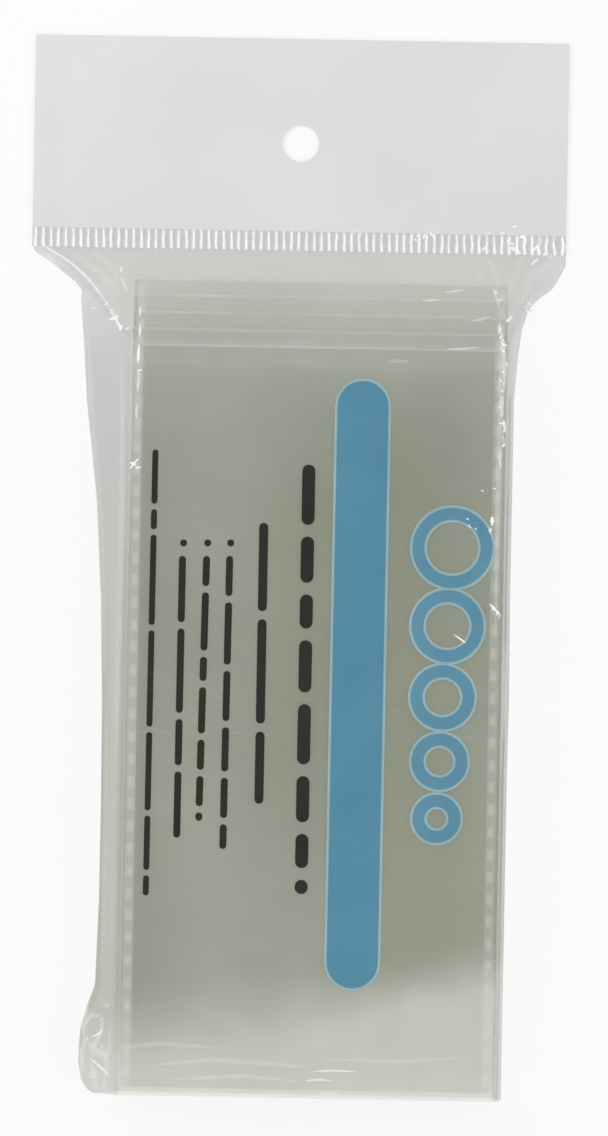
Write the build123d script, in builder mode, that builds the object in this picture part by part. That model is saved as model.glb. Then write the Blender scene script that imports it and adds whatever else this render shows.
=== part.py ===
"""Retail hang pack of coin flips: fifty clear double-pocket flips in a film bag with a white hanging header.

The pack lies on its back. +X is to the right, +Y runs up to the header and +Z comes out of the front.
The origin is on the table, under the middle of the pack. Sizes are in millimetres.
"""

import os
from math import sin

from build123d import *

os.makedirs("parts", exist_ok=True)

# Flips: each has a long back sheet and two pocket plies, whose mouths face a bare strip at the fold
flip_width = 63.5
flip_length = 127.0
ply = 0.1
fold_strip = 5.0
flip_count = 50
bundle_count = 5
air_gap = 0.16
scatter = 0.2
scatter_step = 2.4

# Bag film and the room that it leaves around the stack
film = 0.08
roof_gap = 0.5
floor_gap = 0.25
side_gap = 0.6
nose_gap = 1.0
nose_lag = 0.3
foot_gap = 0.8
stack_shift = 3.9
bag_slack = 9.9
shoulder_length = 15.5

# Side seams: their edge bows in at a waist and stands out in ears at the shoulder and at the foot
seam_flange = 0.5
left_slack_top = 8.4
left_slack_waist = 4.0
left_slack_foot = 7.5
right_slack = 1.4
foot_flare = 12.0
ear_length = 7.5
crease_inset = 3.5
crease_margin = 0.1
bow_steps = 5

# White header, its hanging hole and the ribbed weld under it
header_height = 32.9
header_ply = 0.1
header_lift = 0.33
hole_diameter = 6.2
hole_drop = 17.9
seal_height = 3.3
rib_pitch = 1.28
rib_depth = 0.18
rib_flat = 0.3
weld_crown = 0.03

# Closing flap: an end wall and a lip that is stuck under the back
lip_length = 20.0
lip_corner = 3.0
lip_ramp = 2.0
adhesive = 0.05
adhesive_width = 6.0
adhesive_margin = 4.0

# Heights
flip_thickness = 2 * ply
flip_pitch = flip_thickness + air_gap
stack_height = flip_count * flip_pitch - air_gap
lip_stack = film + adhesive
stack_base = lip_stack + film + floor_gap
roof_inside = stack_base + stack_height + roof_gap
roof_outside = roof_inside + film
seam_height = roof_outside / 2
seal_thickness = 2 * film + 2 * header_ply
seal_plane = header_lift + rib_depth / 2 + seal_thickness / 2
roof_end = seal_plane + weld_crown
floor_end = seal_plane - weld_crown

# Widths
header_width = flip_width + stack_height + bag_slack
half_header = header_width / 2
stack_left = stack_shift - flip_width / 2
stack_right = stack_shift + flip_width / 2
fold_left = stack_left - scatter - side_gap
fold_right = stack_right + scatter + side_gap
weld_fold = half_header - crease_inset


def bundle_of(flip):
    """The bundle that a flip, counted from the back, lies in."""
    return flip * bundle_count // flip_count


def flip_base(flip):
    """Height of the underside of a flip."""
    return stack_base + flip * flip_pitch


def bundle_top(bundle):
    """Height of the upper face of a bundle."""
    return max(flip_base(flip) + flip_thickness for flip in range(flip_count) if bundle_of(flip) == bundle)


def taper_run(height):
    """How far above the start of the shoulder the front film comes down to this height."""
    return shoulder_length * (roof_inside - height) / (roof_inside - roof_end)


# Lengths, along Y from the bottom of the bag
body_length = foot_gap + 2 * scatter + flip_length + nose_gap - taper_run(bundle_top(bundle_count - 1))
pouch_length = body_length + shoulder_length
total_length = film + pouch_length + seal_height + header_height
bag_bottom = film - total_length / 2
shoulder_start = bag_bottom + body_length
seal_bottom = shoulder_start + shoulder_length
waist = bag_bottom + foot_flare
ear_start = seal_bottom - ear_length
seal_top = seal_bottom + seal_height
header_top = seal_top + header_height
hole_centre = header_top - hole_drop
lip_end = bag_bottom + lip_length
ramp_end = lip_end + lip_ramp
lift_start = shoulder_start + taper_run(bundle_top(0))


def between(start, end, share):
    """The value at a share of the way from start to end."""
    return start + (end - start) * share


def share_above(y, start, end):
    """How much of the run from start to end lies below y, from 0 to 1."""
    return min(1, max(0, (y - start) / (end - start)))


def shoulder_share(y):
    """How much of the shoulder lies below y."""
    return share_above(y, shoulder_start, seal_bottom)


def left_slack(y):
    """How far the left seam's edge stands out from the stack at y, below the ear."""
    if y < waist:
        return between(left_slack_foot, left_slack_waist, share_above(y, bag_bottom, waist))
    return between(left_slack_waist, left_slack_top, share_above(y, waist, shoulder_start) ** 3)


def film_line(y, fold_height):
    """Inner face of a bag film at y: a seam flange, a side, the flat panel, a side and a seam flange."""
    share = shoulder_share(y)
    ear_share = share_above(y, ear_start, seal_bottom)
    crease_left = between(fold_left, -weld_fold, share)
    crease_right = between(fold_right, weld_fold, share)
    outside = seam_flange + crease_margin
    left = min(between(stack_left - left_slack(y), -half_header, ear_share), crease_left - outside)
    right = max(between(stack_right + right_slack, half_header, ear_share), crease_right + outside)
    seam_z = between(seam_height, seal_plane, share)
    return [
        (left, seam_z),
        (left + seam_flange, seam_z),
        (crease_left, fold_height),
        (crease_right, fold_height),
        (right - seam_flange, seam_z),
        (right, seam_z),
    ]


def film_band(line, thickness):
    """Outline of a film whose near face follows the line, with its folds mitred."""
    points = [Vector(x, z) for x, z in line]
    runs = [(end - start).normalized() for start, end in zip(points, points[1:])]
    normals = [Vector(-run.Y, run.X) for run in runs]
    far_face = []
    for point, before, after in zip(points, normals[:1] + normals, normals + normals[-1:]):
        far_face.append(point + (before + after) * (thickness / (1 + before.dot(after))))
    return points + far_face[::-1]


def roof_height(y):
    """Inner face of the front film at y, over the stack."""
    return between(roof_inside, roof_end, shoulder_share(y))


# Bag films: the front one comes down to the seal over the shoulder, the back one lies on the table
bow_stations = [between(waist, shoulder_start, step / bow_steps) for step in range(1, bow_steps + 1)]
with BuildPart() as front_film:
    for y in (bag_bottom, waist, *bow_stations, ear_start, seal_bottom):
        with BuildSketch(Plane.XZ.offset(-y)):
            with BuildLine():
                Polyline(*film_band(film_line(y, roof_height(y)), film), close=True)
            make_face()
    loft(ruled=True)
front_film.part.label = "bag_front_film"
export_step(front_film.part, "parts/bag_front_film.step")


def floor_height(y):
    """Inner face of the back film at y: raised over the lip, then flat, and lifted to the seal at its end."""
    over_lip = between(lip_stack, 0, share_above(y, lip_end, ramp_end))
    return film + over_lip + between(0, floor_end - film, share_above(y, lift_start, seal_bottom))


with BuildPart() as back_film:
    for y in sorted({bag_bottom, waist, lip_end, ramp_end, *bow_stations, ear_start, lift_start, seal_bottom}):
        with BuildSketch(Plane.XZ.offset(-y)):
            with BuildLine():
                Polyline(*film_band(film_line(y, floor_height(y)), -film), close=True)
            make_face()
    loft(ruled=True)
back_film.part.label = "bag_back_film"
export_step(back_film.part, "parts/bag_back_film.step")

# Ribbed weld: all four plies pressed into one band of even thickness, with a rib every pitch
rib_count = round(header_width / rib_pitch)
rib_step = header_width / rib_count
rib_slope = rib_step * (1 - 2 * rib_flat) / 2
crest = seal_plane + rib_depth / 2
trough = seal_plane - rib_depth / 2
wave = []
for rib in range(rib_count):
    x = -half_header + rib * rib_step
    wave.append((x, trough))
    wave.append((x + rib_slope, crest))
    wave.append((x + rib_slope + rib_flat * rib_step, crest))
    wave.append((x + 2 * rib_slope + rib_flat * rib_step, trough))
wave.append((half_header, trough))
upper_face = [(x, z + seal_thickness / 2) for x, z in wave]
lower_face = [(x, z - seal_thickness / 2) for x, z in wave]

with BuildPart() as rib_seal:
    with BuildSketch(Plane.XZ.offset(-seal_top)):
        with BuildLine():
            Polyline(*upper_face, *reversed(lower_face), close=True)
        make_face()
    extrude(amount=seal_height)
rib_seal.part.label = "rib_seal"
export_step(rib_seal.part, "parts/rib_seal.step")

# Header plies, welded face to face, with the hanging hole punched through both
for name, underside in (("header_back", seal_plane - header_ply), ("header_front", seal_plane)):
    with BuildPart() as header:
        with BuildSketch(Plane.XY.offset(underside)):
            with Locations((0, seal_top + header_height / 2)):
                Rectangle(header_width, header_height)
            with Locations((0, hole_centre)):
                Circle(hole_diameter / 2, mode=Mode.SUBTRACT)
        extrude(amount=header_ply)
    header.part.label = name
    export_step(header.part, f"parts/{name}.step")

# End wall of the closing flap: it hangs from the front film's bottom edge and closes the bag
end_line = film_line(bag_bottom, roof_outside)
with BuildPart() as closure_wall:
    with BuildSketch(Plane.XZ.offset(-bag_bottom)):
        with BuildLine():
            Polyline(
                end_line[0],
                (fold_left, roof_outside),
                (fold_right, roof_outside),
                end_line[-1],
                (fold_right, film),
                (fold_left, film),
                close=True,
            )
        make_face()
    extrude(amount=film)
closure_wall.part.label = "closure_wall"
export_step(closure_wall.part, "parts/closure_wall.step")

# Lip of the closing flap, folded under the back, with its far corners cut off
lip_width = fold_right - fold_left
lip_centre = (fold_left + fold_right) / 2
with BuildPart() as closure_lip:
    with BuildSketch():
        with Locations((lip_centre, (bag_bottom - film + lip_end) / 2)):
            Rectangle(lip_width, lip_length + film)
    extrude(amount=film)
    far_corners = closure_lip.edges().filter_by(Axis.Z).group_by(Axis.Y)[-1]
    chamfer(far_corners, length=lip_corner)
closure_lip.part.label = "closure_lip"
export_step(closure_lip.part, "parts/closure_lip.step")

# Adhesive between the lip and the back film, below the cut corners
with BuildPart() as adhesive_strip:
    with BuildSketch(Plane.XY.offset(film)):
        with Locations((lip_centre, lip_end - lip_corner - adhesive_width / 2)):
            Rectangle(lip_width - 2 * adhesive_margin, adhesive_width)
    extrude(amount=adhesive)
adhesive_strip.part.label = "adhesive_strip"
export_step(adhesive_strip.part, "parts/adhesive_strip.step")


def bundle_reach(bundle):
    """Upper end of a bundle: short of the sloping film, and by more the deeper it lies."""
    lag = nose_lag * (bundle_count - 1 - bundle)
    return shoulder_start + taper_run(bundle_top(bundle)) - nose_gap - lag


# Flips, from the back of the stack to the front: each bundle is pushed up towards the shoulder
pocket_length = (flip_length - fold_strip) / 2
pocket_offset = (fold_strip + pocket_length) / 2
for flip in range(flip_count):
    reach = bundle_reach(bundle_of(flip))
    x = stack_shift + scatter * sin(scatter_step * flip)
    y = reach - flip_length / 2 - scatter * (1 + sin(scatter_step * (flip + 1)))
    with BuildPart() as back_sheet:
        with BuildSketch(Plane.XY.offset(flip_base(flip))):
            with Locations((x, y)):
                Rectangle(flip_width, flip_length)
        extrude(amount=ply)
    with BuildPart() as pocket_plies:
        with BuildSketch(Plane.XY.offset(flip_base(flip) + ply)):
            with Locations((x, y - pocket_offset), (x, y + pocket_offset)):
                Rectangle(flip_width, pocket_length)
        extrude(amount=ply)
    name = f"flip_{flip + 1:02d}"
    double_flip = Compound(label=name, children=[back_sheet.part, pocket_plies.part])
    export_step(double_flip, f"parts/{name}.step")
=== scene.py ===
"""Looks of a hang pack of clear double-pocket flips: camera, light, films, header, flips and print."""
import math

import bpy
import numpy as np
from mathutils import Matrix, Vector, noise


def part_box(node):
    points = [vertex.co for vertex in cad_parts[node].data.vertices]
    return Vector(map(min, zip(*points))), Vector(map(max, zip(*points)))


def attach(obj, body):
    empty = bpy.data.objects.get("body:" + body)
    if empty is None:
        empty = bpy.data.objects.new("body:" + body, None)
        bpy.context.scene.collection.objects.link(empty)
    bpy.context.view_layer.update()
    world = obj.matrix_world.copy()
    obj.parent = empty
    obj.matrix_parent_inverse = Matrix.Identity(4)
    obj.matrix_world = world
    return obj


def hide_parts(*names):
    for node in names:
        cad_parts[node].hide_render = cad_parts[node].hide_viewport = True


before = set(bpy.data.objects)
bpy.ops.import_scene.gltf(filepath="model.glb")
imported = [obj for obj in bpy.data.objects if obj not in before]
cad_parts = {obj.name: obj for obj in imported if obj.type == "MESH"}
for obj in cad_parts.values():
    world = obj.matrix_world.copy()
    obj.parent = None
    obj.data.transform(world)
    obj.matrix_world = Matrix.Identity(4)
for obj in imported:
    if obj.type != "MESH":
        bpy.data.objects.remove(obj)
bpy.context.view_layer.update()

MM = 0.001
scene = bpy.context.scene
scene.view_settings.view_transform = "Standard"
# A ray has to pass every film and flip
scene.cycles.transparent_max_bounces = 160

# The photograph: its size, its scale, where the part's origin lies in it and how far the pack is turned
IMAGE_WIDTH = 608
IMAGE_HEIGHT = 1136
MM_PER_PIXEL = 0.1705
ORIGIN_PIXEL = (293.2, 567.0)
ROLL = math.radians(1.05)
CAMERA_DISTANCE = 3000.0
FOCUS_HEIGHT = 9.0
SENSOR = 36.0


def pack_point(px, py):
    """The place on the pack, in millimetres, that shows at a pixel of the photograph."""
    right = (px - ORIGIN_PIXEL[0]) * MM_PER_PIXEL
    up = (ORIGIN_PIXEL[1] - py) * MM_PER_PIXEL
    return right * math.cos(ROLL) - up * math.sin(ROLL), right * math.sin(ROLL) + up * math.cos(ROLL)


def corners(node):
    """Lowest and highest corner of a CAD node, in millimetres."""
    low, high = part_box(node)
    return Vector(low) / MM, Vector(high) / MM


# Sizes read from the frame
front_low, front_high = corners("bag_front_film")
seal_top = corners("rib_seal")[1].y
header_low, header_high = corners("header_front")
back_header_low = corners("header_back")[0]
lip_low, lip_high = corners("closure_lip")
glue_low, glue_high = corners("adhesive_strip")
flip_names = [f"flip_{number:02d}" for number in range(1, 51)]
flip_boxes = {name: corners(name) for name in flip_names}
stack_left = min(low.x for low, high in flip_boxes.values())
stack_right = max(high.x for low, high in flip_boxes.values())
half_header = header_high.x
bag_bottom = front_low.y
seal_bottom = front_high.y
roof = front_high.z

# Bag shape, as in the part's source
FILM = 0.08
SIDE_GAP = 0.6
SHOULDER = 15.5
EAR = 7.5
FLANGE = 0.5
FLANGE_CLEARANCE = 0.1
WELD_FOLD = 42.12
SEAM_HEIGHT = roof / 2
SEAL_PLANE = 0.6
ROOF_SEAT = 0.06
FLOOR_SEAT = -0.1
FLOOR_RAMP = 3
LIP_STEP = 0.13
LIP_LENGTH = 20.0
LIP_RAMP = 2.0
fold_left = stack_left - SIDE_GAP
fold_right = stack_right + SIDE_GAP
shoulder_start = seal_bottom - SHOULDER
ear_start = seal_bottom - EAR
LEFT_EDGE = (
    (33, 250), (45, 257), (60, 269), (75, 281), (82, 290), (81, 300), (84, 340), (87, 400), (93, 460),
    (97, 500), (101, 600), (102, 700), (101, 800), (99, 900), (95, 985), (86, 1008), (80, 1030),
    (78, 1060), (81, 1080), (88, 1090), (98, 1096),
)
RIGHT_EDGE = (
    (567, 256), (567, 264), (558, 281), (551, 291), (541, 297), (529, 309), (522, 330), (518, 357),
    (514, 400), (512, 500), (510, 600), (509, 700), (506, 800), (503, 900), (501, 1000), (500, 1060),
    (499, 1096),
)


def between(start, end, share):
    return start + (end - start) * share


def share_above(y, start, end):
    return min(1.0, max(0.0, (y - start) / (end - start)))


def edge_line(pixels):
    """A side of the bag from the foot up: its heights along the pack and its places across it."""
    places = [pack_point(*pixel) for pixel in reversed(pixels)]
    return [y for x, y in places], [x for x, y in places]


left_line = edge_line(LEFT_EDGE)
right_line = edge_line(RIGHT_EDGE)


def film_line(y, fold_height):
    """Section of a bag film at y: x of its edges, seam flanges and folds, and their heights."""
    share = share_above(y, shoulder_start, seal_bottom)
    crease_left = between(fold_left, -WELD_FOLD, share)
    crease_right = between(fold_right, WELD_FOLD, share)
    outside = FLANGE + FLANGE_CLEARANCE
    left = max(-half_header, min(np.interp(y, *left_line), crease_left - outside))
    right = min(half_header, max(np.interp(y, *right_line), crease_right + outside))
    seam = between(SEAM_HEIGHT, SEAL_PLANE, share)
    places = [left, left + FLANGE, crease_left, crease_right, right - FLANGE, right]
    return places, [seam, seam, fold_height, fold_height, seam, seam]


def roof_height(y):
    return between(roof, SEAL_PLANE + ROOF_SEAT, share_above(y, shoulder_start, seal_bottom))


def floor_height(y):
    lip_end = bag_bottom + LIP_LENGTH
    over_lip = between(LIP_STEP, 0.0, share_above(y, lip_end, lip_end + LIP_RAMP))
    to_weld = between(0.0, SEAL_PLANE + FLOOR_SEAT, share_above(y, seal_bottom - FLOOR_RAMP, seal_bottom))
    return FILM / 2 + over_lip + to_weld


FOLD_ROUNDING = (-0.8, -0.4, 0.0, 0.4, 0.8)
WAVE_STRETCH = 0.8


def line_height(x, places, heights):
    """Height of a film section at x, with its folds rounded."""
    return sum(np.interp(x + step, places, heights) for step in FOLD_ROUNDING) / len(FOLD_ROUNDING)


def noise_at(*place):
    return noise.noise(Vector(place))


def wave(x, y, depth, scale, seed):
    return depth * noise_at(x * scale, y * scale * WAVE_STRETCH, seed)


# The front film's darker side colour reaches this far in, over the gap beside the stack: painted shade there
FRONT_INSET = 1.1
BACK_INSET = 0.1
SIDE_FADE = 0.8


def film_side(x, y, inset=FRONT_INSET):
    """How far a point lies on the slack sides of the bag: 0 over the flat panel, 1 past its folds."""
    places = film_line(y, 0.0)[0]
    left = share_above(places[2] + inset - x, 0.0, SIDE_FADE)
    right = share_above(x - places[3] + inset, 0.0, SIDE_FADE)
    return left + right


EAR_TOP = 18.0
EAR_FADE = 4.0
EAR_WRINKLES = 5.0
EAR_INSET, EAR_SIDE_FADE = 0.6, 1.2


def ear_wrinkle(x, y):
    """Sharp wrinkles of the loose corner at the left of the foot, from 0 to 1."""
    inside = share_above(fold_left - EAR_INSET - x, 0.0, EAR_SIDE_FADE)
    inside *= share_above(bag_bottom + EAR_TOP - y, 0.0, EAR_FADE)
    crease = noise_at(x * 0.42 + y * 0.10, y * 0.24 - x * 0.12, 4.7)
    return inside * max(0.0, 1.0 - EAR_WRINKLES * abs(crease))


SLACK_END = 4.0
SIDE_SLACK = 1.8
FILM_DROP = 0.12
WRINKLE_DEPTH = 0.22
SEAM_DROP = 0.04
# Waves of a piece, each with its depth, its scale and its seed
LONG_WAVE, SHORT_WAVE = (0.16, 0.055, 3.1), (0.05, 0.21, 8.4)
BACK_WAVE = (0.03, 0.06, 5.2)


def front_height(x, y):
    """Outer face of the front film, with its slack ripples."""
    height = line_height(x, *film_line(y, roof_height(y)))
    ends = min(1.0, (y - bag_bottom) / SLACK_END, (seal_bottom - y) / SLACK_END)
    sides = 1.0 if fold_left < x < fold_right else SIDE_SLACK
    waves = wave(x, y, *LONG_WAVE) + wave(x, y, *SHORT_WAVE) + WRINKLE_DEPTH * ear_wrinkle(x, y)
    return height + (waves - FILM_DROP) * sides * max(0.0, ends)


def back_height(x, y):
    """Outer face of the back film."""
    height = line_height(x, *film_line(y, floor_height(y)))
    return height - SEAM_DROP * (height > SEAM_HEIGHT - 1) + abs(wave(x, y, *BACK_WAVE))


# Materials
def new_material(name):
    material = bpy.data.materials.new(name)
    material.use_nodes = True
    return material, material.node_tree, material.node_tree.nodes["Principled BSDF"]


def set_inputs(tree, node, values):
    """Sets inputs of a node to values, or links them to the sockets given in their place."""
    for key, value in values.items():
        if isinstance(value, bpy.types.NodeSocket):
            tree.links.new(value, node.inputs[key])
        else:
            node.inputs[key].default_value = value


def noise_field(tree, scale, detail=2.0, stretch=(1, 1, 1)):
    """A noise that stays fixed to the piece, stretched along its axes."""
    place = tree.nodes.new("ShaderNodeTexCoord")
    mapping = tree.nodes.new("ShaderNodeMapping")
    field = tree.nodes.new("ShaderNodeTexNoise")
    set_inputs(tree, mapping, {"Vector": place.outputs["Object"], "Scale": stretch})
    set_inputs(tree, field, {"Vector": mapping.outputs["Vector"], "Scale": scale, "Detail": detail})
    return field.outputs["Fac"]


def ranged(tree, value, low, high, source_low=0.3, source_high=0.7):
    node = tree.nodes.new("ShaderNodeMapRange")
    set_inputs(tree, node, {"Value": value, "From Min": source_low, "From Max": source_high})
    set_inputs(tree, node, {"To Min": low, "To Max": high})
    return node.outputs["Result"]


def mixed_colour(tree, factor, first, second):
    """A mix of two colours, which the node takes in its inputs 6 and 7 and gives in its output 2."""
    node = tree.nodes.new("ShaderNodeMix")
    node.data_type = "RGBA"
    first, second = ((*colour, 1) if isinstance(colour, tuple) else colour for colour in (first, second))
    set_inputs(tree, node, {"Factor": factor, 6: first, 7: second})
    return node.outputs[2]


def mixed_value(tree, factor, first, second):
    """A mix of two numbers, which the node takes in its inputs 2 and 3."""
    node = tree.nodes.new("ShaderNodeMix")
    set_inputs(tree, node, {"Factor": factor, 2: first, 3: second})
    return node.outputs[0]


def maths(tree, operation, *values):
    """What a Math node makes of sockets and numbers."""
    node = tree.nodes.new("ShaderNodeMath")
    node.operation = operation
    set_inputs(tree, node, dict(enumerate(values)))
    return node.outputs[0]


def attribute(tree, name):
    node = tree.nodes.new("ShaderNodeAttribute")
    node.attribute_name = name
    return node.outputs["Fac"]


def bumped(tree, height, strength):
    """The normal of a surface with fine bumps."""
    bump = tree.nodes.new("ShaderNodeBump")
    set_inputs(tree, bump, {"Height": height, "Strength": strength, "Distance": BUMP_DISTANCE})
    return bump.outputs["Normal"]


def shaded(colour, factor):
    return tuple(factor * c for c in colour)


def drifting(tree, field, dark, light):
    """A colour that drifts between two as a noise does."""
    return mixed_colour(tree, ranged(tree, field, 0, 1), dark, light)


BUMP_SCALE = 8
BUMP_DISTANCE = 0.00005
FILM_DRIFT, WELD_DRIFT, SHEET_DRIFT = 1.06, 1.08, (0.92, 1.08)
SHEET_STRETCH = (1, 0.5, 1)


def plain_finish(name, dark, light, roughness, alpha=1.0, scale=120.0, bump=0.0, specular=0.5):
    """A finish whose colour and roughness drift over the piece."""
    material, tree, shader = new_material(name)
    field = noise_field(tree, scale, 3.0)
    set_inputs(tree, shader, {
        "Base Color": drifting(tree, field, dark, light),
        "Roughness": ranged(tree, field, *roughness),
        "Specular IOR Level": specular,
        "Alpha": alpha,
    })
    if bump:
        set_inputs(tree, shader, {"Normal": bumped(tree, noise_field(tree, scale * BUMP_SCALE), bump)})
    return material


def masked_finish(name, attribute_name, plain, marked, alphas, roughness, scale):
    """A see-through finish that turns paler and denser where the mesh carries its mark; on the ribbed weld
    that mark is a painted highlight.
    """
    material, tree, shader = new_material(name)
    mark = attribute(tree, attribute_name)
    field = noise_field(tree, scale, 3.0)
    drift = drifting(tree, field, plain, shaded(plain, FILM_DRIFT))
    set_inputs(tree, shader, {
        "Base Color": mixed_colour(tree, mark, drift, marked),
        "Alpha": ranged(tree, mark, *alphas, 0, 1),
        "Roughness": ranged(tree, field, *roughness),
        "Specular IOR Level": 0.5,
        "Coat Weight": 0.3,
        "Coat Roughness": 0.05,
    })
    return material


# Slack sides: darker and greener towards the foot, paler towards the header; partly painted shade beside the
# stack
SIDE_LOW, SIDE_HIGH = (0.28, 0.315, 0.195), (0.47, 0.485, 0.50)
SIDE_ALPHA = 0.46
# Colour and density of the painted reflection, warmer at the foot and cooler towards the header
REFLECTION_LOW, REFLECTION_HIGH = (0.89, 0.885, 0.80), (0.86, 0.87, 0.87)
REFLECTION_ALPHA = 0.75
COOL_SPAN = (-0.035, 0.036)


def film_finish(name, panel, panel_alpha):
    """A bag film: darker on its slack sides, partly as painted shade, paler and denser where a reflection is
    painted on it, and cooler towards the header.
    """
    material, tree, shader = new_material(name)
    side = attribute(tree, "side")
    painted_reflection = attribute(tree, "painted_reflection")
    place = tree.nodes.new("ShaderNodeTexCoord")
    axes = tree.nodes.new("ShaderNodeSeparateXYZ")
    set_inputs(tree, axes, {0: place.outputs["Object"]})
    upper = ranged(tree, axes.outputs["Y"], 0, 1, *COOL_SPAN)
    field = noise_field(tree, 60.0, 3.0)
    drift = drifting(tree, field, panel, shaded(panel, FILM_DRIFT))
    shaded_sides = mixed_colour(tree, side, drift, mixed_colour(tree, upper, SIDE_LOW, SIDE_HIGH))
    painted_sheen = mixed_colour(tree, side, mixed_colour(tree, upper, REFLECTION_LOW, REFLECTION_HIGH), REFLECTION_HIGH)
    set_inputs(tree, shader, {
        "Base Color": mixed_colour(tree, painted_reflection, shaded_sides, painted_sheen),
        "Alpha": mixed_value(tree, painted_reflection, mixed_value(tree, side, panel_alpha, SIDE_ALPHA), REFLECTION_ALPHA),
        "Roughness": ranged(tree, field, 0.08, 0.2),
        "Specular IOR Level": 0.4,
        "Coat Weight": 0.2,
        "Coat Roughness": 0.05,
    })
    return material


def weld_finish(name, band, dash, edge, alpha):
    """The welded edge of a flip: a band with a row of soft pale dashes and a darker rim, which is painted
    shade at the cut edge.
    """
    material, tree, shader = new_material(name)
    cosine = maths(tree, "COSINE", maths(tree, "MULTIPLY", attribute(tree, "dash_along"), 2 * math.pi))
    from_middle = attribute(tree, "dash_across")
    along = ranged(tree, cosine, 0, 1, -0.5, 0.6)
    across = ranged(tree, maths(tree, "ABSOLUTE", from_middle), 1, 0, 0.25, 1.1)
    mask = maths(tree, "MULTIPLY", along, across)
    drift = drifting(tree, noise_field(tree, 160.0, 3.0), band, shaded(band, WELD_DRIFT))
    # The rim darkens the outermost strip of the band: painted shade along the stack's side
    rim = ranged(tree, from_middle, 1, 0, -1.4, -0.9)
    colour = mixed_colour(tree, rim, mixed_colour(tree, mask, drift, dash), edge)
    set_inputs(tree, shader, {"Base Color": colour, "Roughness": 0.35, "Alpha": alpha})
    return material


def clear_sheet(name, colour, alpha):
    """A flip's plastic: nearly clear, with a tint that drifts along the sheet."""
    material, tree, shader = new_material(name)
    field = noise_field(tree, 22.0, 1.0, SHEET_STRETCH)
    tint = drifting(tree, field, *(shaded(colour, factor) for factor in SHEET_DRIFT))
    set_inputs(tree, shader, {"Base Color": tint, "Roughness": 0.25, "Alpha": alpha})
    return material


HEADER_DARK, HEADER_LIGHT = (0.68, 0.685, 0.685), (0.735, 0.74, 0.74)
HEADER_WHITE = plain_finish("header_white", HEADER_DARK, HEADER_LIGHT, (0.32, 0.5), 1.0, 28.0, bump=0.1)
FRONT_FILM = film_finish("clear_film", (0.62, 0.63, 0.60), 0.06)
BACK_FILM = film_finish("back_film", (0.47, 0.48, 0.445), 0.70)
FLAP_FILM = plain_finish("flap_film", (0.66, 0.67, 0.64), (0.74, 0.75, 0.72), (0.1, 0.25), 0.3, 60.0)
# Fold finishes: painted highlights and reflections laid on the film's folds and crumples
FOLD_WHITE = plain_finish("fold_white", (0.93, 0.93, 0.92), (1.0, 1.0, 1.0), (0.15, 0.3), 0.92, 300.0)
FOLD_PALE = plain_finish("fold_pale", (0.85, 0.85, 0.82), (0.95, 0.95, 0.92), (0.15, 0.3), 0.45, 300.0)
FOLD_SOFT = plain_finish("fold_soft", (0.85, 0.86, 0.82), (0.93, 0.94, 0.90), (0.15, 0.3), 0.16, 300.0)
FOLD_WARM = plain_finish("fold_warm", (0.90, 0.80, 0.64), (0.98, 0.92, 0.80), (0.15, 0.3), 0.7, 300.0)
# The white of the rib crests is a painted highlight
RIB_GREY, RIB_WHITE = (0.47, 0.47, 0.47), (1.0, 1.0, 1.0)
RIB_WELD = masked_finish("ribbed_weld", "crest", RIB_GREY, RIB_WHITE, (0.85, 1.0), (0.2, 0.4), 200.0)
GLUE = plain_finish("adhesive", (0.62, 0.62, 0.58), (0.74, 0.74, 0.70), (0.35, 0.55), 0.6, 400.0)
SHEET_COLOURS = (
    (0.51, 0.525, 0.465),
    (0.485, 0.50, 0.44),
    (0.44, 0.455, 0.395),
    (0.40, 0.415, 0.355),
    (0.231, 0.255, 0.177),
)
FRONT_ALPHAS = (0.62, 0.62, 0.62, 0.62, 0.70)
INNER_ALPHA = 0.045
FRONT_WELD_ALPHA = 0.58
INNER_WELD_ALPHA = 0.06
DASH_LIMIT = 0.62
FRONT_SHEETS = []
INNER_SHEETS = []
for rank, colour in enumerate(SHEET_COLOURS):
    FRONT_SHEETS.append(clear_sheet(f"clear_sheet_front_{rank + 1}", colour, FRONT_ALPHAS[rank]))
    INNER_SHEETS.append(clear_sheet(f"clear_sheet_{rank + 1}", colour, INNER_ALPHA))
FRONT_WELD_TONE = (0.32, 0.335, 0.27)
WELD_RIM_SHADE = 0.72
DASH_SHADE = 1.5
FRONT_WELDS = []
INNER_WELDS = []
for rank, tone in enumerate((*SHEET_COLOURS[:-1], FRONT_WELD_TONE)):
    dash = tuple(min(DASH_LIMIT, DASH_SHADE * c) for c in tone)
    rim = shaded(tone, WELD_RIM_SHADE)
    FRONT_WELDS.append(weld_finish(f"weld_band_front_{rank + 1}", tone, dash, rim, FRONT_WELD_ALPHA))
    INNER_WELDS.append(weld_finish(f"weld_band_{rank + 1}", tone, dash, rim, INNER_WELD_ALPHA))
# The pale end and mouth lines are painted highlights where the flips' ends and pocket mouths catch the light
END_DARK, END_LIGHT = (0.60, 0.615, 0.55), (0.70, 0.71, 0.64)
FRONT_END = plain_finish("end_line_front", END_DARK, END_LIGHT, (0.2, 0.4), 0.24, 60.0)
INNER_END = plain_finish("end_line", END_DARK, END_LIGHT, (0.2, 0.4), 0.12, 60.0)
MOUTH_PALE = plain_finish("mouth_line", END_DARK, END_LIGHT, (0.2, 0.4), 0.06, 60.0)
CUT_EDGE = plain_finish("cut_edge", (0.55, 0.57, 0.51), (0.70, 0.72, 0.66), (0.2, 0.4), 0.5, 300.0)
BAR_DARK, BAR_LIGHT = (0.053, 0.213, 0.314), (0.061, 0.228, 0.331)
PRINT_BLUE = plain_finish("print_blue", BAR_DARK, BAR_LIGHT, (0.28, 0.4), 0.97, 90.0)
PRINT_RIM = plain_finish("print_rim", (0.27, 0.43, 0.47), (0.32, 0.48, 0.52), (0.25, 0.4), 0.85, 90.0)
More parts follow.
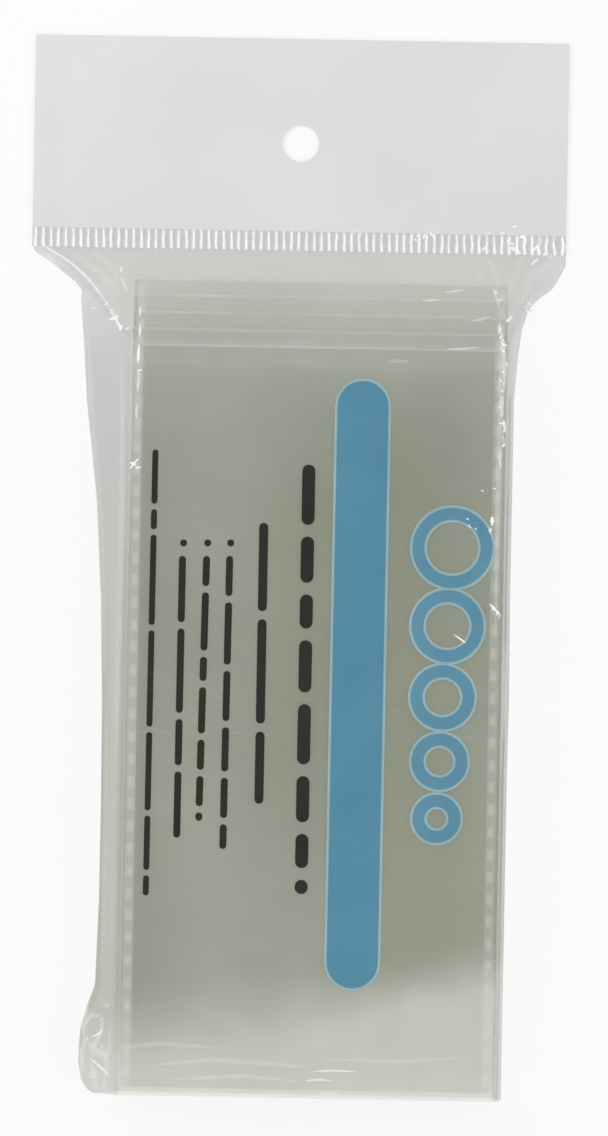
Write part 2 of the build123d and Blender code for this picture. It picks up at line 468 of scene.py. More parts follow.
RING_DARK, RING_LIGHT = (0.066, 0.222, 0.321), (0.086, 0.252, 0.350)
PRINT_LIGHT = plain_finish("print_light_blue", RING_DARK, RING_LIGHT, (0.25, 0.4), 0.95, 90.0)
INK_DARK, INK_LIGHT = (0.010, 0.012, 0.008), (0.020, 0.022, 0.016)
PRINT_BLACK = plain_finish("print_black", INK_DARK, INK_LIGHT, (0.5, 0.65), 1.0, 90.0, specular=0.15)


# Mesh helpers
def add_piece(name, points, faces, materials, body, indices=None, smooth=True):
    """A new piece from points in millimetres, which rides on a body of the frame."""
    mesh = bpy.data.meshes.new(name)
    mesh.from_pydata([(x * MM, y * MM, z * MM) for x, y, z in points], [], faces)
    for material in materials:
        mesh.materials.append(material)
    if indices is not None:
        mesh.polygons.foreach_set("material_index", indices)
    if smooth:
        mesh.shade_smooth()
    mesh.update()
    piece = bpy.data.objects.new(name, mesh)
    scene.collection.objects.link(piece)
    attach(piece, body)
    return piece


def mark_points(piece, name, values):
    """Stores one number for each point of the piece, for its material to read."""
    layer = piece.data.attributes.new(name, "FLOAT", "POINT")
    layer.data.foreach_set("value", values)


def grid_faces(rows, columns, first=0):
    faces = []
    for row in range(rows - 1):
        for column in range(columns - 1):
            corner = first + row * columns + column
            faces.append((corner, corner + 1, corner + columns + 1, corner + columns))
    return faces


def grid_outline(rows, columns):
    """The points round a grid, in order."""
    outline = list(range(columns))
    outline += [row * columns + columns - 1 for row in range(1, rows)]
    outline += [(rows - 1) * columns + column for column in range(columns - 2, -1, -1)]
    return outline + [row * columns for row in range(rows - 2, 0, -1)]


def steps_between(start, end, pitch):
    return np.linspace(start, end, max(2, round(abs(end - start) / pitch) + 1))


# Bag films
FILM_PITCH = 0.6
FOLD_SHARE = 1.2
LEFT_COLUMNS, PANEL_COLUMNS, RIGHT_COLUMNS = 22, 90, 9
film_rows = steps_between(bag_bottom, seal_bottom, FILM_PITCH)


def film_points(height, fold_height):
    """Grid of points over a bag film, with columns that follow its folds."""
    points = []
    for y in film_rows:
        places = film_line(y, fold_height(y))[0]
        xs = np.concatenate([
            np.linspace(places[0], places[1], 2)[:-1],
            np.linspace(places[1], places[2] + FOLD_SHARE, LEFT_COLUMNS)[:-1],
            np.linspace(places[2] + FOLD_SHARE, places[3] - FOLD_SHARE, PANEL_COLUMNS)[:-1],
            np.linspace(places[3] - FOLD_SHARE, places[4], RIGHT_COLUMNS)[:-1],
            np.linspace(places[4], places[5], 2),
        ])
        points.extend((x, y, height(x, y)) for x in xs)
    return points, len(points) // len(film_rows)


# Painted reflections of the room on the front film: the bright foot, the shoulder and soft bands along the
# pack
FOOT_GLOW = (
    (500, 966, 5.5), (470, 970, 5.5), (440, 975, 5.5), (410, 982, 5.5), (370, 990, 7.0),
    (330, 1000, 8.0), (250, 1010, 9.0), (165, 1024, 9.0), (110, 1028, 9.0),
)
FOOT_STRENGTH = 0.715
SIDE_DIMMING = 0.12
SHOULDER_GLOW = (
    (262, 0.07), (276, 0.10), (284, 0.20), (330, 0.215), (343, 0.22), (345, 0.34), (366, 0.33), (370, 0.26),
    (385, 0.19), (400, 0.14), (425, 0.08), (460, 0.035), (500, 0.0),
)
LEFT_GLOW = (-15.0, 12.8, 0.20)
RIGHT_GLOW = (35.3, 9.4, 0.10)
LOWER_GLOW = (2.9, 15.0, 0.14)
LOWER_GLOW_ROWS = (960, 720)
GLOW_WAVE = (0.35, 0.045, 11.0)
GLOW_DROP, GLOW_FADE = 3.0, 9.0
FOOT_WAVE = (0.8, 0.15, 2.0)
STREAK_REFLECTION = 0.10
SIDE_REFLECTION, SIDE_REFLECTION_START = 0.14, 5.0


def smooth_step(share):
    return share * share * (3 - 2 * share)


def glow_line(x, centre, width, strength):
    """Painted soft reflection that runs along the pack, at its strongest on one line."""
    return strength * math.exp(-((x - centre) / width) ** 2)


def stack_reflection(x, y):
    """Painted soft reflections of the room on the front film, over the front bundle."""
    low_row, high_row = (pack_point(ORIGIN_PIXEL[0], row)[1] for row in LOWER_GLOW_ROWS)
    lower = smooth_step(share_above(high_row - y, 0.0, high_row - low_row))
    broad = glow_line(x, *LEFT_GLOW) + glow_line(x, *RIGHT_GLOW) + lower * glow_line(x, *LOWER_GLOW)
    broad *= 1.0 + wave(x, y, *GLOW_WAVE)
    return broad * share_above(shoulder_start - GLOW_DROP - y, 0.0, GLOW_FADE)


def foot_share(x, y):
    """Share of the painted bright reflection over the foot, below a line that is sharper at the right."""
    line = [(*pack_point(px, py), softness) for px, py, softness in reversed(FOOT_GLOW)]
    xs, ys, softnesses = zip(*line)
    softness = np.interp(x, xs, softnesses)
    depth = np.interp(x, xs, ys) + wave(x, y, *FOOT_WAVE) - y
    return smooth_step(share_above(depth, -softness, softness))


def shoulder_reflection(y):
    """Painted reflection on the front film over the upper ends of the flips, which steps down on the front
    bundle.
    """
    line = [(pack_point(ORIGIN_PIXEL[0], py)[1], strength) for py, strength in reversed(SHOULDER_GLOW)]
    return np.interp(y, *zip(*line))


def side_reflection(x, y):
    """Painted reflection on the slack sides: faint streaks, which turn paler towards the shoulder."""
    streak = max(0.0, noise_at(x * 0.45, y * 0.012, 6.5))
    return STREAK_REFLECTION * streak + SIDE_REFLECTION * share_above(y, SIDE_REFLECTION_START, shoulder_start)


# Painted reflections over the side welds, the stack's corners and the wrinkles of the loose corner
LEFT_WELD_REFLECTION = (0.23, -25.9, 0.5)
RIGHT_WELD_REFLECTION = (0.25, 34.0, 0.6)
RIGHT_WELD_SPAN = (-8.0, 30.0)
WELD_FADE = 4.0
CORNER_REFLECTION = 0.32
CORNER_REACH = 3.0
WRINKLE_REFLECTION = 0.6
MOST_REFLECTION = 0.8
COARSE_MOTTLE, FINE_MOTTLE = (0.035, 0.09, 6.0), (0.03, 0.2, 14.0)
MOTTLE_STRETCH = 1.6


def front_reflection(x, y):
    """How much painted reflection the front film carries: over the shoulder, sides, side welds and foot."""
    side = film_side(x, y)
    below = share_above(shoulder_start - y, 0.0, WELD_FADE)
    strength, edge, fade = LEFT_WELD_REFLECTION
    left_weld = strength * share_above(edge - x, 0.0, fade) * below
    strength, edge, fade = RIGHT_WELD_REFLECTION
    right_weld = strength * share_above(x - edge, 0.0, fade) * below * share_above(y, *RIGHT_WELD_SPAN)
    painted_sheen = shoulder_reflection(y) + left_weld + right_weld + stack_reflection(x, y)
    painted_sheen = (1 - side) * painted_sheen + side * side_reflection(x, y)
    foot = foot_share(x, y) * (1 - SIDE_DIMMING * side)
    painted_sheen = between(painted_sheen, FOOT_STRENGTH, foot)
    corner = share_above(stack_left - x, 0.0, CORNER_REACH) + share_above(x - stack_right, 0.0, CORNER_REACH)
    corner *= share_above(y, shoulder_start - CORNER_REACH, ear_start)
    painted_sheen += CORNER_REFLECTION * corner + WRINKLE_REFLECTION * ear_wrinkle(x, y)
    mottle = wave(x, y, *COARSE_MOTTLE) + wave(x, y * MOTTLE_STRETCH, *FINE_MOTTLE)
    return min(MOST_REFLECTION, max(0.0, painted_sheen + mottle))


def back_reflection(x, y):
    """How much painted reflection the back film carries on its sides."""
    return film_side(x, y, BACK_INSET) * side_reflection(x, y)


for name, node, height, fold_height, painted_reflection, inset, finish in (
    ("front_film", "bag_front_film", front_height, roof_height, front_reflection, FRONT_INSET, FRONT_FILM),
    ("back_film", "bag_back_film", back_height, floor_height, back_reflection, BACK_INSET, BACK_FILM),
):
    points, columns = film_points(height, fold_height)
    bag_film = add_piece(name, points, grid_faces(len(film_rows), columns), [finish], "bag")
    mark_points(bag_film, "painted_reflection", [painted_reflection(x, y) for x, y, z in points])
    mark_points(bag_film, "side", [film_side(x, y, inset) for x, y, z in points])
    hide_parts(node)
    bag_film.visible_shadow = False

# Header plies: a square patch of quads round the hanging hole, in a grid of the same pitch
HOLE_PATCH = 6
HEADER_PITCH = 0.7
HEADER_THICKNESS = 0.09
HEADER_SWELLS = (
    ((112, 56), (128, 36), 0.8, 0.07),
    ((194, 36), (196, 58), 0.7, 0.05),
    ((80, 178), (265, 184), 3.0, 0.16),
    ((335, 172), (372, 184), 2.6, 0.14),
    ((40, 60), (38, 205), 2.4, 0.14),
    ((452, 62), (458, 66), 0.7, 0.06),
    ((540, 100), (552, 108), 0.9, 0.06),
)
HOLE_RADIUS = 3.1
HOLE_DROP = 17.9
HOLE_RINGS = (0.45, 0.75, 0.92, 1.0)
HEADER_PLY = 0.1
HEADER_WAVE = (0.22, 0.05, 1.5)
HEADER_CALM = 5
RIM_WIDTH, RIM_RISE = 0.7, 0.06
hole_y = header_high.y - HOLE_DROP


def header_swell(x, y):
    """Height of the header's soft swells and short creases at a point."""
    height = 0.0
    for start, end, width, rise in HEADER_SWELLS:
        start, end = Vector(pack_point(*start)), Vector(pack_point(*end))
        run = end - start
        share = min(1.0, max(0.0, (Vector((x, y)) - start).dot(run) / run.length_squared))
        reach = (Vector((x, y)) - start - run * share).length
        height += rise * math.exp(-(reach / width) ** 2)
    return height


def header_points(underside):
    """Both faces and the rims of a header ply, with a soft lip round its hole."""
    xs = np.concatenate([
        steps_between(-half_header, -HOLE_PATCH, HEADER_PITCH)[:-1],
        np.arange(-HOLE_PATCH, HOLE_PATCH, 1.0),
        steps_between(HOLE_PATCH, half_header, HEADER_PITCH),
    ])
    ys = np.concatenate([
        steps_between(header_low.y, hole_y - HOLE_PATCH, HEADER_PITCH)[:-1],
        hole_y + np.arange(-HOLE_PATCH, HOLE_PATCH, 1.0),
        steps_between(hole_y + HOLE_PATCH, header_high.y, HEADER_PITCH),
    ])
    points = [(x, y) for y in ys for x in xs]
    index = {(round(x, 4), round(y, 4)): number for number, (x, y) in enumerate(points)}
    faces = []
    for face in grid_faces(len(ys), len(xs)):
        centre_x = sum(points[corner][0] for corner in face) / 4
        centre_y = sum(points[corner][1] for corner in face) / 4
        if max(abs(centre_x), abs(centre_y - hole_y)) > HOLE_PATCH:
            faces.append(face)
    side = [(step - HOLE_PATCH, -HOLE_PATCH) for step in range(2 * HOLE_PATCH)]
    ring = side + [(-y, x) for x, y in side] + [(-x, -y) for x, y in side] + [(y, -x) for x, y in side]
    outer = [index[(round(x, 4), round(hole_y + y, 4))] for x, y in ring]
    for share in HOLE_RINGS:
        inner = []
        for x, y in ring:
            reach = math.hypot(x, y)
            factor = between(1.0, HOLE_RADIUS / reach, share)
            inner.append(len(points))
            points.append((x * factor, hole_y + y * factor))
        for number in range(len(ring)):
            after = (number + 1) % len(ring)
            faces.append((outer[number], outer[after], inner[after], inner[number]))
        outer = inner
    shaped = []
    for x, y in points:
        rim = max(0.0, 1 - (math.hypot(x, y - hole_y) - HOLE_RADIUS) / RIM_WIDTH)
        sway = wave(x, y, *HEADER_WAVE) + header_swell(x, y)
        sway *= min(1.0, (y - header_low.y) / HEADER_CALM)
        shaped.append((x, y, underside + HEADER_PLY + sway + RIM_RISE * rim))
    count = len(shaped)
    outline = grid_outline(len(ys), len(xs))
    shaped += [(x, y, z - HEADER_THICKNESS) for x, y, z in shaped]
    faces += [tuple(corner + count for corner in reversed(face)) for face in faces]
    for loop in (outline, outer):
        first = len(shaped)
        for corner in loop:
            shaped += [shaped[corner], shaped[corner + count]]
        for step in range(len(loop)):
            here, after = first + 2 * step, first + 2 * ((step + 1) % len(loop))
            faces.append((here, here + 1, after + 1, after))
    return shaped, faces


for name, node, low in (
    ("header_front_ply", "header_front", header_low),
    ("header_back_ply", "header_back", back_header_low),
):
    points, faces = header_points(low.z)
    ply = add_piece(name, points, faces, [HEADER_WHITE], "bag")
    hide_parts(node)

# Ribbed weld: each crest leans and fades a little differently, and more so where the weld is crumpled; the
# white on the crests is a painted highlight, brighter towards their lower ends
RIB_COUNT = 71
RIB_COLUMNS = 10
RIB_ROWS = 9
RIB_DEPTH = 0.22
RIB_SHARPNESS = 1.6
RIB_LEAN, CRUMPLED_LEAN, LOWER_LEAN = 0.09, 0.25, 0.10
RIB_TONE, RIB_FADE, CRUMPLED_FADE = 0.8, 0.35, 0.5
RIB_SEAT, UPPER_SEAT = 0.05, 0.07
RIB_GLOW, LEAST_GLOW = 1.7, 0.08
CRUMPLE_START = 15.0
rib_step = 2 * half_header / RIB_COUNT
points = []
crests = []
for row in range(RIB_ROWS):
    along = row / (RIB_ROWS - 1)
    y = between(seal_top, seal_bottom, along)
    for column in range(RIB_COUNT * RIB_COLUMNS + 1):
        rib, phase = divmod(column, RIB_COLUMNS)
        x = -half_header + column * rib_step / RIB_COLUMNS
        crumpled = share_above(x, CRUMPLE_START, half_header)
        lean = (RIB_LEAN + CRUMPLED_LEAN * crumpled) * noise_at(rib * 1.7, 0.5, along * 2.0)
        lean = lean * math.sin(math.pi * along) + LOWER_LEAN * along * noise_at(rib * 2.3, 4.5, 0.0)
        crest = max(0.0, math.cos(2 * math.pi * (phase / RIB_COLUMNS - 0.5 - lean))) ** RIB_SHARPNESS
        fade = RIB_TONE + (RIB_FADE + CRUMPLED_FADE * crumpled) * noise_at(rib * 0.9, 7.5, along * 2.5)
        ends = min(1.0, 9 * along, 12 * (1 - along))
        seat = RIB_SEAT + UPPER_SEAT * max(0.0, 1 - (RIB_ROWS - 1) * along)
        points.append((x, y, SEAL_PLANE + seat + RIB_DEPTH * crest * ends))
        # Painted highlight on the crest, brighter towards the lower end of the rib
        glow = RIB_GLOW * crest * min(1.0, 0.3 + 7 * along) * fade * (0.55 + 0.55 * along)
        crests.append(min(1.0, max(0.0, glow + LEAST_GLOW)))
weld_faces = grid_faces(RIB_ROWS, RIB_COUNT * RIB_COLUMNS + 1)
weld = add_piece("weld_band_ribs", points, weld_faces, [RIB_WELD], "bag")
mark_points(weld, "crest", crests)
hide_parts("rib_seal")

# Closing flap: end wall, lip and adhesive
WALL_ROWS = 9
FLAP_COLUMNS = 60
LIP_PITCH = 0.7
GLUE_ROWS = 9
GLUE_PITCH = 1.0
GLUE_CROWN = 0.05
WALL_TOP_GAP = 0.03
WALL_WAVE, LIP_WAVE, GLUE_WAVE = (0.05, 0.12, 4.0), (0.02, 0.1, 9.0), (0.1, 0.6, 2.0)
points = []
wall_places = film_line(bag_bottom, roof)[0]
for level in np.linspace(0, 1, WALL_ROWS):
    upper = max(0.0, 2 * level - 1)
    lower = max(0.0, 1 - 2 * level)
    reach = max(upper, lower)
    left = between(wall_places[0], fold_left, reach)
    right = between(wall_places[5], fold_right, reach)
    for x in np.linspace(left, right, FLAP_COLUMNS):
        z = between(FILM, roof - WALL_TOP_GAP, level)
        bulge = wave(x, z, *WALL_WAVE)
        points.append((x, bag_bottom - FILM / 2 + bulge * math.sin(math.pi * level), z))
wall_faces = grid_faces(WALL_ROWS, FLAP_COLUMNS)
wall = add_piece("flap_wall_film", points, wall_faces, [FLAP_FILM], "flap_wall")
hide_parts("closure_wall")

points = []
LIP_CORNER = 3.0
lip_rows = steps_between(lip_low.y, lip_high.y, LIP_PITCH)
for y in lip_rows:
    cut = max(0.0, y - (lip_high.y - LIP_CORNER))
    for x in np.linspace(lip_low.x + cut, lip_high.x - cut, FLAP_COLUMNS):
        points.append((x, y, FILM / 2 + wave(x, y, *LIP_WAVE)))
lip_faces = grid_faces(len(lip_rows), FLAP_COLUMNS)
lip = add_piece("flap_lip_film", points, lip_faces, [FLAP_FILM], "flap_lip")
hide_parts("closure_lip")

points = []
glue_middle = (glue_low.y + glue_high.y) / 2
glue_half = (glue_high.y - glue_low.y) / 2
glue_xs = steps_between(glue_low.x, glue_high.x, GLUE_PITCH)
for share in np.linspace(-1, 1, GLUE_ROWS):
    for x in glue_xs:
        wobble = wave(x, share, *GLUE_WAVE)
        crown = GLUE_CROWN * (1 - share ** 4)
        points.append((x, glue_middle + share * glue_half * (0.97 + wobble * 0.2), FILM + crown * 0.9))
glue_faces = grid_faces(GLUE_ROWS, len(glue_xs))
glue = add_piece("flap_adhesive", points, glue_faces, [GLUE], "flap_lip")
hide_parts("adhesive_strip")

# Flips: a thin sheet with welded sides, two pockets and a bare strip at the fold
DASH_PITCH = 3.8
DASH_LENGTH = 2.3
DASH_DEPTH = 0.04
DASH_START = 1.2
BAND_EDGE = 0.35
BAND_WIDTH = 1.9
FOLD_HALF = 2.5
END_LINE = 0.5
MOUTH_LINE = 0.3
PLY = 0.1
INNER_COLUMNS = 9
FLIP_WAVE = (0.02, 0.08)
SHEET, WELD, EDGE, END, MOUTH = range(5)


def flip_mesh(low, high, is_front, has_lines, number):
    """Points, faces, finish numbers and dash places of one flip."""
    band_middle = (BAND_EDGE + BAND_WIDTH) / 2
    from_edge = (0.0, BAND_EDGE, band_middle, BAND_WIDTH)
    inner = np.linspace(low.x + BAND_WIDTH, high.x - BAND_WIDTH, INNER_COLUMNS)[1:-1]
    xs = [*(low.x + step for step in from_edge), *inner, *(high.x - step for step in reversed(from_edge))]
    middle = (low.y + high.y) / 2
    fold_low, fold_high = middle - FOLD_HALF, middle + FOLD_HALF
    ys = {low.y, low.y + END_LINE, high.y - END_LINE, high.y}
    ys.update((fold_low - MOUTH_LINE, fold_low, fold_high, fold_high + MOUTH_LINE))
    pressed = set()
    dash = high.y - DASH_START - DASH_LENGTH / 2
    while dash - DASH_LENGTH / 2 > low.y + END_LINE:
        ys.update((dash - DASH_LENGTH / 2, dash, dash + DASH_LENGTH / 2))
        pressed.add(dash)
        dash -= DASH_PITCH
    ys = sorted(ys)
    first_dash = high.y - DASH_START - DASH_LENGTH / 2
    points = []
    places = []
    for y in ys:
        drop = PLY if fold_low <= y <= fold_high else 0.0
        for x in xs:
            edge = min(x - low.x, high.x - x)
            across = (edge - band_middle) / (BAND_WIDTH - band_middle)
            dent = DASH_DEPTH if y in pressed and abs(across) < 0.01 else 0.0
            points.append((x, y, high.z - drop - dent + wave(x, y, *FLIP_WAVE, number)))
            places.append(((first_dash - y) / DASH_PITCH, min(1.0, across)))
    faces = grid_faces(len(ys), len(xs))
    indices = []
    for row in range(len(ys) - 1):
        centre = (ys[row] + ys[row + 1]) / 2
        at_end = min(centre - low.y, high.y - centre) < END_LINE
        at_mouth = 0 < fold_low - centre < MOUTH_LINE
        for column in range(len(xs) - 1):
            finish = SHEET
            if has_lines and at_end:
                finish = END
            elif min(column, len(xs) - 2 - column) < len(from_edge) - 1:
                finish = WELD
            elif is_front and at_mouth:
                finish = MOUTH
            indices.append(finish)
    rim = grid_outline(len(ys), len(xs))
    base = len(points)
    points.extend((points[corner][0], points[corner][1], low.z) for corner in rim)
    places.extend(places[corner] for corner in rim)
    for step in range(len(rim)):
        after = (step + 1) % len(rim)
        faces.append((rim[step], base + step, base + after, rim[after]))
        indices.append(EDGE)
    return points, faces, indices, places


FLIPS_PER_BUNDLE = 10
FLIPS_PER_LINE = 5
for number, name in enumerate(flip_names):
    bundle = number // FLIPS_PER_BUNDLE
    is_front = number % FLIPS_PER_BUNDLE == FLIPS_PER_BUNDLE - 1
    has_lines = number % FLIPS_PER_LINE == FLIPS_PER_LINE - 1
    points, faces, indices, places = flip_mesh(*flip_boxes[name], is_front, has_lines, number)
    finishes = [INNER_SHEETS[bundle], INNER_WELDS[bundle], CUT_EDGE, INNER_END, MOUTH_PALE]
    if is_front:
        finishes = [FRONT_SHEETS[bundle], FRONT_WELDS[bundle], CUT_EDGE, FRONT_END, MOUTH_PALE]
    body = f"bundle_{bundle + 1}"
    flip = add_piece(f"sheet_{name}", points, faces, finishes, body, indices, smooth=False)
    mark_points(flip, "dash_along", [along for along, across in places])
    mark_points(flip, "dash_across", [across for along, across in places])
    flip.visible_shadow = False
    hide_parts(name)

# Print on the front film: a plain bar, plain rings and plain rules
PRINT_LIFT = 0.06
PRINT_PITCH = 0.6
CAP_STEPS = 7
RING_ROWS = 5
RING_STEPS = 64


def on_film(x, y, lift):
    return x, y, front_height(x, y) + lift


def print_rule(start, end, width, lift):
    """Points and faces of a rule with round ends, laid on the film between two pixels."""
    start, end = Vector(pack_point(*start)), Vector(pack_point(*end))
    run = end - start
    length = run.length
    across = Vector((-run.y, run.x)) / length
    half = width * MM_PER_PIXEL / 2
    ends = np.sin(np.linspace(-math.pi / 2, math.pi / 2, 2 * CAP_STEPS - 1))
    cap = half * (1 + ends[:CAP_STEPS])
    straight = steps_between(half, length - half, PRINT_PITCH)[1:-1]
    stations = np.concatenate([cap, straight, length - cap[::-1]])
    sides = np.linspace(-1, 1, max(5, round(2 * half / PRINT_PITCH) + 1))
    points = []
    for station in stations:
        inset = max(0.0, half - min(station, length - station))
        reach = math.sqrt(max(0.0, half ** 2 - inset ** 2))
        for side in sides:
            place = start + run * (station / length) + across * (side * reach)
            points.append(on_film(place.x, place.y, lift))
    return points, grid_faces(len(stations), len(sides))


def print_ring(centre, radius, width, lift):
    """Points and faces of a ring laid on the film round a pixel."""
    x, y = pack_point(*centre)
    points = []
    for reach in np.linspace(radius - width / 2, radius + width / 2, RING_ROWS):
        for angle in np.linspace(0, 2 * math.pi, RING_STEPS, endpoint=False):
            across = reach * MM_PER_PIXEL
            points.append(on_film(x + across * math.cos(angle), y + across * math.sin(angle), lift))
    faces = []
    for ring in range(RING_ROWS - 1):
        inner = ring * RING_STEPS
        outer = inner + RING_STEPS
        for step in range(RING_STEPS):
            after = (step + 1) % RING_STEPS
            faces.append((inner + step, inner + after, outer + after, outer + step))
    return points, faces


def joined(parts):
    """Several sets of points and faces as one."""
    points, faces = [], []
    for more_points, more_faces in parts:
        first = len(points)
        points.extend(more_points)
        faces.extend(tuple(corner + first for corner in face) for face in more_faces)
    return points, faces


def add_print(name, parts, material):
    points, faces = joined(parts)
    piece = add_piece(name, points, faces, [material], "bag")
    piece.visible_shadow = False


BAR_RIM, BAR = ((363.4, 379), (351.5, 989.5), 56), ((363.4, 381.5), (351.5, 987), 51)
add_print("print_bar_rim", [print_rule(*BAR_RIM, PRINT_LIFT)], PRINT_RIM)
add_print("print_bar", [print_rule(*BAR, 2 * PRINT_LIFT)], PRINT_BLUE)
RINGS = (((452, 548), 34), ((447, 626), 30), ((442, 697), 26), ((439, 761), 22), ((436, 818), 18))
RING_RIM_WIDTH, RING_WIDTH = 17, 12
add_print("print_rings_rim", [print_ring(c, r, RING_RIM_WIDTH, PRINT_LIFT) for c, r in RINGS], PRINT_RIM)
add_print("print_rings", [print_ring(c, r, RING_WIDTH, 2 * PRINT_LIFT) for c, r in RINGS], PRINT_LIGHT)
RULE_GAP = 0.9
RULES = (
    ((309, 465), (301, 893), 13, (60, 46, 34, 52)),
    ((264, 523), (259, 803), 9, (88, 104)),
    ((230, 556), (223, 848), 7, (40, 62, 50, 44)),
    ((207, 556), (199, 820), 7, (30, 58, 24, 46, 30)),
    ((183, 556), (177, 838), 7, (66, 84, 46)),
    ((156, 450), (146, 902), 6, (54, 20, 90, 96, 78)),
)


def broken_rule(start, end, width, lengths):
    """A row of short rules that repeats a few lengths until it reaches the end."""
    start, end = Vector(start), Vector(end)
    run = (end - start).normalized()
    total = (end - start).length
    parts = []
    station = 0.0
    number = 0
    while station < total - width:
        reach = min(station + lengths[number % len(lengths)], total)
        parts.append(print_rule(start + run * station, start + run * reach, width, PRINT_LIFT))
        station = reach + RULE_GAP * width
        number += 1
    return parts


add_print("print_rules", [part for rule in RULES for part in broken_rule(*rule)], PRINT_BLACK)
DOTS = ((231, 543), (208, 543), (184, 543))
DOT_HALF, DOT_WIDTH = 3.5, 6.9
dots = [print_rule((x, y - DOT_HALF), (x, y + DOT_HALF), DOT_WIDTH, PRINT_LIFT) for x, y in DOTS]
add_print("print_dots", dots, PRINT_BLACK)

# Folds and crumpled spots of the film, coloured as painted highlights and reflections
FOLD_LIFT = 0.05
FOLD_PITCH = 0.35
SPOT_CORNERS = 7
SPOT_LENGTH, SPOT_WIDTH = 1.35, 0.55


def fold_ridge(width, height, *pixels):
    """Points and faces of a sharp fold along pixels, tapered at both ends."""
    places = [Vector(pack_point(*pixel)) for pixel in pixels]
    gaps = [0.0]
    for before, after in zip(places, places[1:]):
        gaps.append(gaps[-1] + (after - before).length)
    stations = steps_between(0.0, gaps[-1], FOLD_PITCH)
    xs = np.interp(stations, gaps, [p.x for p in places])
    ys = np.interp(stations, gaps, [p.y for p in places])
    points = []
    for step, (x, y) in enumerate(zip(xs, ys)):
        before = max(step - 1, 0)
        after = min(step + 1, len(xs) - 1)
        run = Vector((xs[after] - xs[before], ys[after] - ys[before])).normalized()
        taper = math.sin(math.pi * min(1.0, max(0.0, (step + 0.4) / (len(xs) - 0.2)))) ** 0.6
        wobble = 1.0 + 0.45 * noise_at(x * 1.1, y * 1.1, 3.0)
        half = width * MM_PER_PIXEL / 2 * taper * wobble
        for side in (-1.0, 0.0, 1.0):
            px, py = x - run.y * half * side, y + run.x * half * side
            rise = height * taper * (1 - abs(side))
            points.append(on_film(px, py, FOLD_LIFT + rise))
    return points, grid_faces(len(xs), 3)


def crumple(pixel, size, seed):
    """Points and faces of a small crumpled spot at a pixel, longer than it is wide."""
    x, y = pack_point(*pixel)
    turn = math.pi * noise_at(seed * 2.7, 1.9, 0.3)
    points = [on_film(x, y, FOLD_LIFT + 0.25 * size * MM_PER_PIXEL)]
    for step in range(SPOT_CORNERS):
        angle = 2 * math.pi * step / SPOT_CORNERS
        reach = size * MM_PER_PIXEL * (0.8 + 0.6 * noise_at(seed * 1.3, step * 2.1, 0.7))
        along, across = SPOT_LENGTH * reach * math.cos(angle), SPOT_WIDTH * reach * math.sin(angle)
        place_x = x + along * math.cos(turn) - across * math.sin(turn)
        place_y = y + along * math.sin(turn) + across * math.cos(turn)
        points.append(on_film(place_x, place_y, FOLD_LIFT))
    faces = [(0, step + 1, (step + 1) % SPOT_CORNERS + 1) for step in range(SPOT_CORNERS)]
    return points, faces


# Folds that carry painted highlights, each with its width in pixels, its height and the pixels that it
# follows
BRIGHT_FOLDS = (
    (2.4, 0.14, (39, 241), (50, 249), (62, 256), (73, 264), (83, 273), (93, 284), (102, 296), (110, 308)),
    (2.6, 0.12, (110, 308), (113, 313), (116, 318), (119, 325), (122, 330)),
    (2.2, 0.03, (140, 307), (140.5, 312), (140, 317)),
    (2.4, 0.03, (140.5, 324), (140.5, 331), (140, 338)),
    (2.6, 0.03, (139.5, 345), (139, 354), (138.5, 363)),
    (2.0, 0.06, (131, 469), (134, 464), (139, 459)),
    (2.0, 0.10, (90, 1058), (97, 1063), (104, 1069), (110, 1074)),
    (2.0, 0.10, (92, 1036), (98, 1034), (103, 1029)),
    (2.0, 0.06, (453, 634), (463, 641), (475, 651)),
    (3.4, 0.06, (465, 516), (468, 521), (471, 528)),
    (3.4, 0.06, (474, 523), (476.5, 528), (475, 533)),
    (3.0, 0.06, (491, 517), (492, 521), (491, 526)),
    (2.8, 0.06, (503, 421), (504, 426), (505, 432)),
    (2.2, 0.06, (489, 604), (494, 609), (499, 614)),
    (2.2, 0.05, (543, 238), (541, 243), (536, 247), (533, 252)),
)
PALE_FOLDS = (
    (2.2, 0.10, (555, 285), (548, 291), (540, 296), (533, 304), (529, 312)),
    (3.0, 0.10, (493, 288), (496, 296), (499, 307)),
    (3.5, 0.10, (121, 276), (124, 283), (127, 292)),
    (3.0, 0.03, (139, 370), (139, 381), (138, 392)),
    (2.6, 0.03, (137.5, 405), (137, 412), (137, 419)),
    (2.0, 0.08, (97, 1075), (93, 1068), (91, 1062)),
    (2.0, 0.04, (445, 292), (455, 291), (466, 290)),
    (2.0, 0.04, (470, 322), (480, 320), (490, 317)),
    (1.7, 0.03, (446, 350), (462, 349.5), (480, 348)),
    (3.0, 0.05, (488, 527), (490, 531), (489, 536)),
    (3.0, 0.05, (502, 436), (504, 441), (503, 447)),
    (3.0, 0.05, (497, 611), (499, 615), (498, 619)),
    (5.0, 0.05, (499, 322), (501, 336), (503, 352), (504, 372), (503, 392)),
    (4.0, 0.04, (502, 396), (501, 406), (502, 416)),
    (3.6, 0.04, (500, 450), (499, 459), (500, 468)),
)
